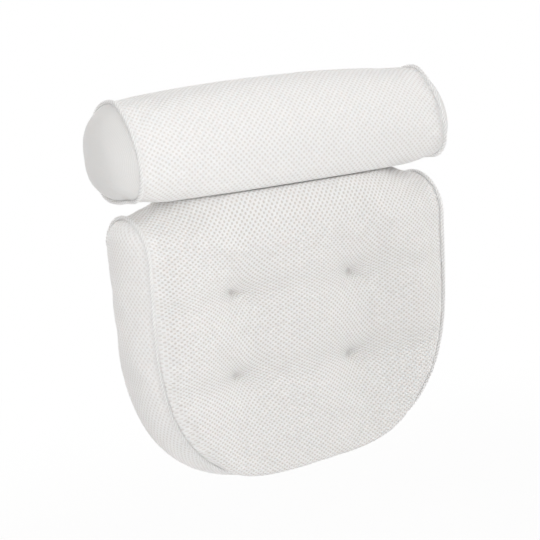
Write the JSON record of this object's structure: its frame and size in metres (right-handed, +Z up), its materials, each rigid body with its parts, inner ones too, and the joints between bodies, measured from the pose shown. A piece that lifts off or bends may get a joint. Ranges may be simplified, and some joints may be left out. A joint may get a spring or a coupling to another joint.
{
  "type": "bath pillow",
  "caption": "White air-mesh bath pillow: a puffed head roll hinged over a tufted back pad, held to the tub wall by suction cups that swivel in sewn patches.",
  "frame": {"origin": "on the bath wall, below the middle of the pillow, a little above the seam at the foot of the pad", "axes": "+Y into the wall, so the front of the pillow faces -Y; +X to the right as seen from the front; +Z up"},
  "size_m": [0.3726, 0.1126, 0.3699],
  "materials": {
    "air_mesh": "open white spacer mesh",
    "tricot": "plain white tricot",
    "piping": "white corded piping",
    "fibre": "white polyester fibre",
    "thread": "white sewing thread",
    "vinyl": "clear soft vinyl"
  },
  "bodies": {
    "pad": {"pad_front_panel": "air_mesh", "pad_side_band": "air_mesh", "pad_rear_panel": "tricot", "pad_filling": "fibre", "pad_piping": "piping", "tuft_tie_left_low": "thread", "tuft_tie_left_high": "thread", "tuft_tie_right_low": "thread", "tuft_tie_right_high": "thread", "hinge_strip": "tricot", "patch_pad_low_left": "tricot", "patch_pad_low_right": "tricot", "patch_pad_high_left": "tricot", "patch_pad_high_right": "tricot"},
    "head": {"head_sleeve": "air_mesh", "head_filling": "fibre", "head_end_left": "tricot", "head_end_right": "tricot", "head_piping_left": "piping", "head_piping_right": "piping", "patch_head_left": "tricot", "patch_head_right": "tricot"},
    "cup_pad_low_left": {"cup_pad_low_left": "vinyl"},
    "cup_pad_low_right": {"cup_pad_low_right": "vinyl"},
    "cup_pad_high_left": {"cup_pad_high_left": "vinyl"},
    "cup_pad_high_right": {"cup_pad_high_right": "vinyl"},
    "cup_head_left": {"cup_head_left": "vinyl"},
    "cup_head_right": {"cup_head_right": "vinyl"}
  },
  "joints": [
    {"name": "head_fold", "type": "hinge", "parent": "pad", "child": "head", "pos_m": [0, -0.0164, 0.255], "axis": [-1, 0, 0], "range_deg": [0, 90], "deforming": ["hinge_strip"]},
    {"name": "cup_pad_low_left_swivel", "type": "hinge", "parent": "pad", "child": "cup_pad_low_left", "pos_m": [-0.11, 0, 0.08], "axis": [0, 1, 0], "continuous": true},
    {"name": "cup_pad_low_right_swivel", "type": "hinge", "parent": "pad", "child": "cup_pad_low_right", "pos_m": [0.11, 0, 0.08], "axis": [0, 1, 0], "continuous": true},
    {"name": "cup_pad_high_left_swivel", "type": "hinge", "parent": "pad", "child": "cup_pad_high_left", "pos_m": [-0.11, 0, 0.178], "axis": [0, 1, 0], "continuous": true},
    {"name": "cup_pad_high_right_swivel", "type": "hinge", "parent": "pad", "child": "cup_pad_high_right", "pos_m": [0.11, 0, 0.178], "axis": [0, 1, 0], "continuous": true},
    {"name": "cup_head_left_swivel", "type": "hinge", "parent": "head", "child": "cup_head_left", "pos_m": [-0.095, 0, 0.31], "axis": [0, 1, 0], "continuous": true},
    {"name": "cup_head_right_swivel", "type": "hinge", "parent": "head", "child": "cup_head_right", "pos_m": [0.095, 0, 0.31], "axis": [0, 1, 0], "continuous": true}
  ]
}
